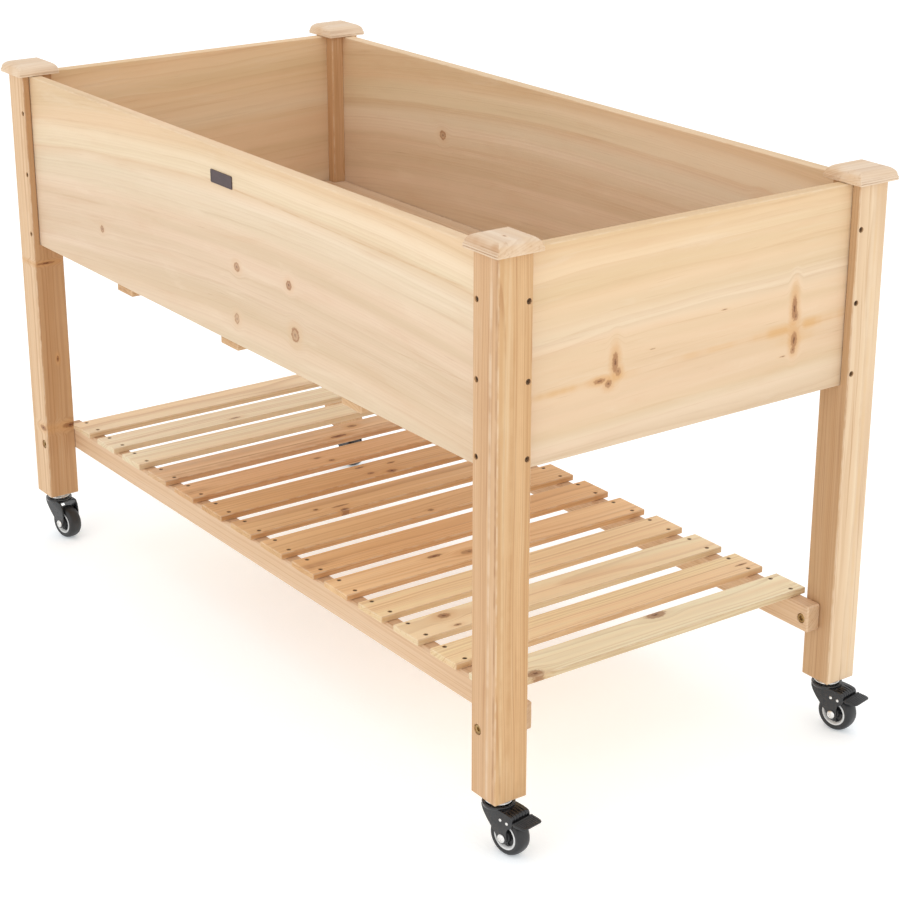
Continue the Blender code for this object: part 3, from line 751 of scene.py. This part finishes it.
def build_leg(corner, seed):
    sx, sy = out_of(corner)
    low, high, centre, half = LEG_BOX[corner]
    piece = add_piece(f"leg_post_{corner}", cad_copy(f"leg_{corner}"),
                      leg_wood(corner, seed), replaces=(f"leg_{corner}",), smooth=0)
    face_y, face_x = centre.y + sy * half.y, centre.x + sx * half.x
    long_x = centre.x - sx * (half.x - LONG_SCREW_IN)
    short_y = centre.y - sy * (half.y - SHORT_SCREW_IN)
    spots = [facing((0, sy, 0), (long_x, face_y, z)) for z in SCREW_Z]
    spots += [facing((sx, 0, 0), (face_x, short_y, z)) for z in SCREW_Z]
    bolt = facing((0, sy, 0), (centre.x - sx * BOLT_OUT, face_y, BOLT_Z))
    slots = []  # shadow gaps where a panel's face enters the leg
    if corner == "back_right":
        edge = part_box("panel_right")
        slots = [((edge[1].x - 0.001, low.y - 0.001, edge[0].z + 0.001),
                  (edge[1].x + 0.0014, low.y + 0.006, edge[1].z - 0.0004))]
    if corner == "front_left":
        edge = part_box("panel_front")
        slots = [((high.x - 0.006, edge[0].y - 0.0012, edge[0].z + 0.001),
                  (high.x + 0.001, edge[0].y + 0.001, edge[1].z - 0.0004))]
    carve(piece, [(p, SCREW_HOLE) for p in spots] + [(bolt, BOLT_HOLE)], slots)
    bm = bmesh.new()
    for place in spots:
        turn = Matrix.Rotation(rng.uniform(0, pi / 2), 4, "Z")
        cross_recess_head(bm, place @ turn, 0.0031, HEAD_SINK)
    add_piece(f"screws_leg_{corner}", bm, SCREW)
    bm = bmesh.new()
    turn = Matrix.Rotation(rng.uniform(0, 1), 4, "Z")
    hex_socket_bolt(bm, bolt @ turn, 0.006, BOLT_SINK)
    add_piece(f"bolt_leg_{corner}", bm, BRASS)


MARGIN = 0.00001  # keeps the outermost pieces just inside the CAD box
CAP_SLOPE = 0.0088  # how far the cap's top is set in


def build_cap(corner, seed):
    """Moulded cap: a grooved lip on the two long-grain sides, rounded end grain."""
    low, high, centre, half = span(f"cap_{corner}")
    along_x = corner == "front_right"
    base, height = half.x - MARGIN, high.z - low.z - MARGIN
    # (inset along the moulded sides, inset along the end-grain sides, height), in mm
    rows = mm((0.5, 0.5, 0), (0, 0, 0.5), (0, 0, 2), (0.8, 0, 2.2), (0.8, 0, 2.8), (0, 0, 3),
              (0, 0, 4.2), (0.4, 0.1, 4.8), (1.4, 0.3, 5), (1.4, 0.5, 5.6), (1.8, 0.7, 6.2))
    side_start, end_start, lip = rows[-1]
    last = radians(58)
    for i in range(1, 9):
        angle = last * i / 8
        up = sin(angle) / sin(last)
        inset = (1 - cos(angle)) / (1 - cos(last))
        rows.append((side_start + (CAP_SLOPE - side_start) * inset,
                     end_start + (CAP_SLOPE - end_start) * inset, lip + (height - lip) * up))
    levels = []
    for side, end, z in rows:
        reach = (base - end, base - side) if along_x else (base - side, base - end)
        levels.append((rounded(*reach, 0.0012, 2), z))
    bm = bmesh.new()
    loft(bm, levels, Matrix.Translation((centre.x, centre.y, low.z)))
    knots, lines = [], []
    if along_x:
        knots = [(0.004, -0.002, Z, 0.003, 0.0016, 0.5, 0.2, 0.4)]
        # painted shade: a broad darker band over the sloping sides that look along y, and a thin
        # darker line along them at mid height
        lines = [(-0.06, 0.06, 0.0034, Y, 0.0, 0.0072, 0.85, rgb(208, 162, 120)),
                 (-0.06, 0.06, 0.0, Y, 0.0, 0.0012, 0.6, rgb(182, 132, 88))]
    mat = wood(f"cap_{corner}", X if along_x else Y, centre, half, rgb(245, 222, 196),
               rgb(234, 202, 166), seed, pith=(0.05, -0.16 if along_x else -0.12),
               spacing=0.0034, contrast=0.26, bands=0.18, knots=knots, lines=lines,
               streaky=0.35, end=0.99)
    add_piece(f"post_cap_{corner}", bm, mat, replaces=(f"cap_{corner}",), smooth=16.0)


# ---- shelf ----
SLAT_SCREW_IN, SLAT_SCREW_SIDE = 0.018, 0.019  # from the slat's end, from its middle line
RAIL_BOLT_IN, RAIL_BOLT_Z = 0.032, 0.16  # from the leg's outer face, height


def build_slat(number, seed):
    node = f"slat_{number:02d}"
    low, high, centre, half = span(node)
    piece = add_piece(f"shelf_{node}", cad_copy(node), slat_wood(number, seed),
                      replaces=(node,), smooth=0)
    spots = []
    local = random.Random(500 + number)
    for side in (-1, 1):
        for off in (-SLAT_SCREW_SIDE, SLAT_SCREW_SIDE):
            at = (centre.x + off + local.uniform(-0.0012, 0.0012),
                  side * (half.y - SLAT_SCREW_IN) + local.uniform(-0.0015, 0.0015), high.z)
            spots.append(facing((0, 0, 1), at))
    carve(piece, [(p, SLAT_HOLE) for p in spots])
    bm = bmesh.new()
    for place in spots:
        turn = Matrix.Rotation(local.uniform(0, pi / 2), 4, "Z")
        cross_recess_head(bm, place @ turn, 0.0027, -0.0006)
    add_piece(f"screws_slat_{number:02d}", bm, SCREW)


def build_rail(side, seed):
    node = f"rail_{side}"
    low, high, centre, half = span(node)
    inward = 1 if side == "front" else -1
    piece = add_piece(f"shelf_{node}", cad_copy(node),
                      plain_wood(node, X, seed, (240, 206, 170), (230, 190, 148), 0.34),
                      replaces=(node,), smooth=0)
    face = centre.y + inward * half.y
    reach = HALF_LENGTH - RAIL_BOLT_IN
    ends = [facing((0, inward, 0), (MID_X + s * reach, face, RAIL_BOLT_Z)) for s in (-1, 1)]
    carve(piece, [(p, BOLT_HOLE) for p in ends])
    bm = bmesh.new()
    for place in ends:
        hex_socket_bolt(bm, place, 0.0061, -0.0002, 0.003)
    add_piece(f"bolts_rail_{side}", bm, BRASS)


# ---- label plate ----
def build_label():
    low, high, centre, half = span("label_plate")
    thick = high.y - low.y
    # (inset of the outline, height) from the back to the sunk face
    steps = [(0.0, 0.0), (0.0, thick - 0.0002), (0.0002, thick), (0.0011, thick),
             (0.0013, thick - 0.00025), (0.002, thick - 0.00025)]
    bm = bmesh.new()
    loft(bm, [(rounded(half.x - inset, half.z - inset, 0.0012, 4), h) for inset, h in steps],
         facing((0, -1, 0), (centre.x, high.y, centre.z)))
    add_piece("blank_label_plate", bm, PLATE, replaces=("label_plate",))


# ---- casters ----
JOINTS = {j["name"]: j for j in frame["joints"]}
CHEEK_OUT, CHEEK_T = 0.0153, 0.0024  # outer face from the middle, thickness
BOSS_R = 0.0075
# caster profiles, in mm from the middle of the leg's underside: (forward or radius, up)
HEAD = mm((0, -0.3), (13.2, -0.3), (13.9, -0.8), (13.9, -1.8), (14.6, -2.4), (15, -3),
          (14.6, -3.6), (12.8, -4), (12.8, -5), (14.8, -5.3), (16, -5.8), (16.3, -6.6), (16, -7.3),
          (14.8, -7.8), (13, -8), (0, -8))
CROWN = mm((0, -9), (16, -8.9), (17.6, -8.2), (18.8, -8.1), (19.7, -8.7), (20, -9.7),
           (19.9, -11.2), (19.2, -12.7), (18, -13.1), (0, -13.2))
CHEEK_BACK = mm((20, -11.3), (24.8, -14.2), (27.6, -20), (28.8, -29), (28.7, -38.5))
BRAKED_BACK = mm((20.5, -11.2), (28.5, -12.2), (34, -14), (35.8, -18), (35.2, -23.5),
                 (32.6, -28.2), (28.5, -31.2), (26.6, -34.5), (26.2, -39.5))
CHEEK_FRONT = mm((9.8, -44), (5.6, -39.5), (0.8, -34.5), (-4.8, -28.5), (-9.8, -22),
                 (-12.8, -16.5), (-13.8, -12.5), (-12.5, -10.8), (0, -10.4))
DECK = mm((-13.2, -11), (0, -10.8), (20.5, -11.3))
DECK_LIP = mm((27, -12.1), (32.5, -13.4), (34.6, -15.2), (35.3, -17.6))
DECK_T = 0.002
RIB_TOP = mm((20, -10.9), (27, -11.3), (32.2, -12.6), (34.8, -14.8), (35.8, -17.4))
RIB_FOOT = mm((34.8, -17.8), (33.4, -16), (31, -14.2), (20, -12.2))
RIB_Y, RIB_HALF = (-0.0096, -0.0048, 0.0, 0.0048, 0.0096), 0.0009
RIVETS = mm((17, -22.5), (27.2, -23.5))
RIVET = mm((0, -1.2), (2, -1.2), (2.1, 0.1), (1.9, 0.5), (1.2, 0.9), (0, 1))
# profiles round the axle, in mm: (radius, along the axle)
SHAFT = mm((0, -15.55), (2.9, -15.55), (2.9, 15.55), (0, 15.55))
BOLT_HEAD = mm((0, 15.35), (5.2, 15.45), (5.5, 15.85), (5.3, 16.55), (4.4, 17.35), (3, 17.85),
               (2.2, 17.95), (2, 17.25), (0, 17.15))
SHAFT_TIP = mm((0, -17.85), (2.6, -17.85), (3, -17.35), (0, -17.25))
NUT_R, NUT_FROM, NUT_TO = 0.005, -0.01755, -0.01545
TREAD_SIDE = mm((17.1, -9.8), (18.6, -10.3), (20.5, -10.5), (22.1, -9.8), (23.4, -8.4),
                (24.3, -6.3), (24.8, -3.9), (24.99, -2.2))
RING_SIDE = mm((12.8, 6.9), (13.4, 8.1), (14.2, 9.5), (15, 10.2), (16, 10.1), (16.8, 9.7),
               (16.95, 8.9), (16.95, 0.5), (12.8, 0.5))
CORE_SIDE = mm((3.05, -11.4), (6.6, -11.4), (7.4, -10.9), (7.9, -9.5), (8.3, -6.5),
               (11.2, -6.1), (12.6, -6.7))
SPOKE, SPOKE_HALF = mm((7.6, -1), (12.4, -1.3), (12.4, 1.3), (7.6, 1)), 0.0079
# a drawing's x, y and height go to the caster's x, z and y, or to its y, z and x
SIDE_ON = Matrix(((1, 0, 0, 0), (0, 0, 1, 0), (0, 1, 0, 0), (0, 0, 0, 1)))
END_ON = Matrix(((0, 0, 1, 0), (1, 0, 0, 0), (0, 1, 0, 0), (0, 0, 0, 1)))


def curve(points, per=5, closed=True):
    """Points on a smooth curve through the given ones."""
    out = []
    n = len(points)
    for i in range(n if closed else n - 1):
        p = [points[(i + k) % n] if closed else points[max(0, min(n - 1, i + k))]
             for k in (-1, 0, 1, 2)]
        for j in range(per):
            t = j / per
            out.append(tuple(
                0.5 * (2 * b + (c - a) * t + (2 * a - 5 * b + 4 * c - d) * t * t
                       + (3 * b - a - 3 * c + d) * t ** 3)
                for a, b, c, d in zip(*p)))
    if not closed:
        out.append(tuple(points[-1]))
    return out


def build_fork(corner, local, trail, axle_z):
    """Pressed fork: two cheeks, the deck between them, its ribs and the crown."""
    braked = corner in BRAKED
    side = local @ SIDE_ON
    boss = [(trail + BOSS_R * cos(radians(a)), axle_z + BOSS_R * sin(radians(a)))
            for a in (2, -25, -52, -80, -108, -136, -160)]
    outline = curve((BRAKED_BACK if braked else CHEEK_BACK) + boss + CHEEK_FRONT, 4)
    mid_x = sum(p[0] for p in outline) / len(outline)
    mid_z = sum(p[1] for p in outline) / len(outline)
    bm = bmesh.new()
    for s in (-1, 1):
        outer, inner = s * CHEEK_OUT, s * (CHEEK_OUT - CHEEK_T)
        steps = ((inner, 0.976), (inner + s * 0.0005, 1.0), (outer - s * 0.0007, 1.0),
                 (outer - s * 0.0002, 0.9892), (outer, 0.973))
        loft(bm, [([(mid_x + (x - mid_x) * k, mid_z + (z - mid_z) * k) for x, z in outline], y)
                  for y, k in steps], side)
    sheet = curve(DECK + (DECK_LIP if braked else []), 5, closed=False)
    under = []
    for i, (x, z) in enumerate(sheet):
        a, b = sheet[max(0, i - 1)], sheet[min(len(sheet) - 1, i + 1)]
        d = Vector((b[0] - a[0], b[1] - a[1])).normalized()
        under.append((x + d.y * DECK_T, z - d.x * DECK_T))
    reach = CHEEK_OUT - 0.0012
    prism(bm, sheet + under[::-1], -reach, reach, side)
    if braked:
        rib = curve(RIB_TOP, 4, closed=False) + RIB_FOOT
        for y in RIB_Y:
            prism(bm, rib, y - RIB_HALF, y + RIB_HALF, side)
    lathe(bm, CROWN, local, 64)
    body = f"caster_{corner}_swivel"
    add_piece(f"fork_{corner}", bm, BLACK, body, (f"caster_{corner}_fork",),
              smooth=34.0)
    if braked:
        bm = bmesh.new()
        for x, z in RIVETS:
            for s in (-1, 1):
                lathe(bm, RIVET, local @ facing((0, s, 0), (x, s * CHEEK_OUT, z)), 20)
        add_piece(f"rivets_{corner}", bm, PLATED, body)


def build_axle(corner, at_axle):
    """Flanged bolt head on one side, lock nut on the other."""
    bm = bmesh.new()
    lathe(bm, SHAFT, at_axle, 24)
    lathe(bm, BOLT_HEAD, at_axle, 32)
    prism(bm, circle(NUT_R, 6), NUT_FROM, NUT_TO, at_axle)
    lathe(bm, SHAFT_TIP, at_axle, 20)
    add_piece(f"axle_bolt_{corner}", bm, PLATED, f"caster_{corner}_swivel",
              (f"caster_{corner}_axle",))


def mirrored(side):
    """A profile and its reflection across the middle of the wheel."""
    return side + [(r, -h) for r, h in side[::-1]]


def build_wheel(corner, at_axle):
    """Tread, light ring and dark five-spoked core."""
    body = f"caster_{corner}_wheel"
    bm = bmesh.new()
    lathe(bm, mirrored(TREAD_SIDE), at_axle, 96)
    add_piece(f"wheel_tread_{corner}", bm, TREAD, body, (f"caster_{corner}_tyre",))
    bm = bmesh.new()
    for s in (-1, 1):
        lathe(bm, [(r, s * h) for r, h in RING_SIDE], at_axle, 72)
    add_piece(f"wheel_ring_{corner}", bm, RING, body, (f"caster_{corner}_hub",))
    bm = bmesh.new()
    lathe(bm, mirrored(CORE_SIDE), at_axle, 64)
    for i in range(5):
        prism(bm, SPOKE, -SPOKE_HALF, SPOKE_HALF, at_axle @ Matrix.Rotation(tau * i / 5, 4, "Z"))
    add_piece(f"wheel_core_{corner}", bm, CORE, body)


def build_caster(corner):
    base, hub = (Vector(JOINTS[f"{corner}_{kind}"]["pos_m"]) for kind in ("swivel", "roll"))
    base.z = LEG_BOX[corner][0].z
    lead = hub - base
    trail, axle_z = hypot(lead.x, lead.y), lead.z
    local = Matrix.Translation(base) @ Matrix.Rotation(atan2(lead.y, lead.x), 4, "Z")
    at_axle = (local @ Matrix.Translation((trail, 0, axle_z))
               @ Matrix.Rotation(radians(90), 4, "X"))
    bm = bmesh.new()
    lathe(bm, HEAD, local, 64)
    add_piece(f"swivel_head_{corner}", bm, PLATED,
              replaces=(f"caster_{corner}_head",))
    build_fork(corner, local, trail, axle_z)
    build_axle(corner, at_axle)
    build_wheel(corner, at_axle)
    if corner in BRAKED:
        build_pedal(corner, local)


# the pedal's neck and the end of its plate, in mm: (forward, top, thickness, half width)
PEDAL_NECK = mm((23.2, -16.9, 3.1, 11.2), (30, -18, 3.1, 11.2), (35, -18.6, 3.8, 11.2),
                (36.6, -18.8, 4.4, 11.4), (37.4, -18.4, 4.8, 15.2), (38.2, -18.2, 4.9, 16.1),
                (39.2, -18.2, 4.8, 16.4))
PEDAL_END = mm((54.4, -19.6, 2.6, 14.8), (55.3, -20, 2, 13.6), (55.8, -20.5, 1.2, 12.2))
PLATE_FROM, PLATE_TO, RIDGES, RIDGE_H = 0.04, 0.0532, 5, 0.0008


def build_pedal(corner, local):
    """Foot pedal with a neck between the cheeks and a ridged tread plate."""
    plate = []
    for i in range(RIDGES * 6 + 1):
        t = i / (RIDGES * 6)
        dip = RIDGE_H * (0.5 + 0.5 * cos(tau * RIDGES * t))
        plate.append((PLATE_FROM + (PLATE_TO - PLATE_FROM) * t, -0.0186 - 0.0006 * t - dip,
                      0.0046 - 0.0014 * t - dip, 0.0165 - 0.0012 * t ** 3))
    levels = []
    for x, top, thick, half in PEDAL_NECK + plate + PEDAL_END:
        ring = rounded(half, thick / 2, min(0.001, thick * 0.45), 2)
        levels.append(([(y, top - thick / 2 + z) for y, z in ring], x))
    bm = bmesh.new()
    loft(bm, levels, local @ END_ON)
    add_piece(f"brake_pedal_{corner}", bm, PEDAL, f"caster_{corner}_brake",
              (f"caster_{corner}_pedal",), smooth=45.0)


# ---- put the object together ----
for k, corner_name in enumerate(CORNERS):
    build_leg(corner_name, 11 + k)
    build_cap(corner_name, 31 + k)
    build_caster(corner_name)
for k in range(14):
    build_slat(k + 1, 51 + k)
for k, name in enumerate(("front", "back")):
    build_rail(name, 71 + k)
build_label()


def dress(node, mat):
    """Give a CAD node that stays a better material."""
    mesh = frame["nodes"][node].data
    mesh.materials.clear()
    mesh.materials.append(mat)


for k, name in enumerate(("front", "back", "left", "right")):
    dress(f"panel_{name}", panel_wood(f"panel_{name}", 81 + k))
for k, name in enumerate(("left", "middle", "right")):
    dress(f"batten_{name}", plain_wood(f"batten_{name}", Y, 91 + k, (232, 194, 150),
                                       (216, 172, 124), 0.4, end=0.92))
for k, name in enumerate(("left", "right")):
    dress(f"cleat_{name}", plain_wood(f"cleat_{name}", Y, 101 + k, (228, 188, 144),
                                      (210, 166, 120), 0.4))
for k in range(4):
    dress(f"floor_board_{k + 1}", plain_wood(f"floor_board_{k + 1}", X, 111 + k,
                                             (244, 216, 186), (232, 198, 160), 0.4))


# ---- floor, light and camera ----
def build_floor():
    s = Shader("studio_floor", roughness=0.85, specular=0.15)
    s.bsdf.inputs["Emission Color"].default_value = (0.86, 0.95, 1.0, 1.0)
    s.bsdf.inputs["Emission Strength"].default_value = 0.3
    tint = s.spread(s.noise(s.place, 1.2, 2.0), 0.3, 0.7, 0.0, 1.0)
    mat = s.finish(s.mix(tint, (0.885, 0.885, 0.89, 1), (0.9, 0.9, 0.9, 1)),
                   None, s.noise(s.place, 180.0, 2.0), 0.0002)
    bm = bmesh.new()
    bmesh.ops.create_grid(bm, x_segments=2, y_segments=2, size=14.0)
    mesh = mesh_from("floor", bm)
    mesh.materials.append(mat)
    link("floor", mesh)


def area_light(name, at, aim, size, watts, colour=(1, 1, 1)):
    data = bpy.data.lights.new(name, "AREA")
    data.shape = "SQUARE"
    data.size = size
    data.energy = watts
    data.color = colour
    lamp = link(name, data)
    lamp.location = at
    aim = Vector(aim) - Vector(at)
    lamp.rotation_euler = aim.to_track_quat("-Z", "Y").to_euler()


def build_world():
    world = bpy.data.worlds.new("studio")
    bpy.context.scene.world = world
    world.use_nodes = True
    tree = world.node_tree
    ground = tree.nodes["Background"]
    seen = tree.nodes.new("ShaderNodeBackground")
    for sky, strength in ((ground, 0.98), (seen, 1.05)):
        sky.inputs["Color"].default_value = (1.0, 1.0, 1.0, 1.0)
        sky.inputs["Strength"].default_value = strength
    path = tree.nodes.new("ShaderNodeLightPath")
    mixer = tree.nodes.new("ShaderNodeMixShader")
    tree.links.new(path.outputs["Is Camera Ray"], mixer.inputs[0])
    tree.links.new(ground.outputs[0], mixer.inputs[1])
    tree.links.new(seen.outputs[0], mixer.inputs[2])
    tree.links.new(mixer.outputs[0], tree.nodes["World Output"].inputs["Surface"])


CAMERA_AT = (MID_X + 2.3923, -1.6244, 1.3699)
CAMERA_YAW, CAMERA_PITCH = 54.605, 20.999  # degrees left of +Y, degrees down
CAMERA_LENS = 88.62  # mm on a 36 mm sensor


def build_camera():
    data = bpy.data.cameras.new("camera")
    data.sensor_width = 36.0
    data.lens = CAMERA_LENS
    data.clip_start, data.clip_end = 0.05, 60.0
    camera = link("camera", data)
    yaw, pitch = radians(CAMERA_YAW), radians(CAMERA_PITCH)
    ahead = Vector((-sin(yaw) * cos(pitch), cos(yaw) * cos(pitch), -sin(pitch)))
    camera.location = CAMERA_AT
    camera.rotation_euler = ahead.to_track_quat("-Z", "Y").to_euler()
    bpy.context.scene.camera = camera


build_floor()
build_world()
# name, place, aim, size in metres, watts, colour
area_light("key", (1.0, -3.4, 1.9), (0, 0, 0.35), 2.6, 20.0, (1.0, 0.985, 0.965))
area_light("fill", (3.8, 0.4, 1.7), (0, 0, 0.35), 2.4, 14.0, (1.0, 0.99, 0.975))
area_light("top", (-0.4, 0.5, 3.4), (0, 0, 0.3), 2.6, 12.0)
build_camera()
bpy.context.scene.view_settings.view_transform = "Standard"
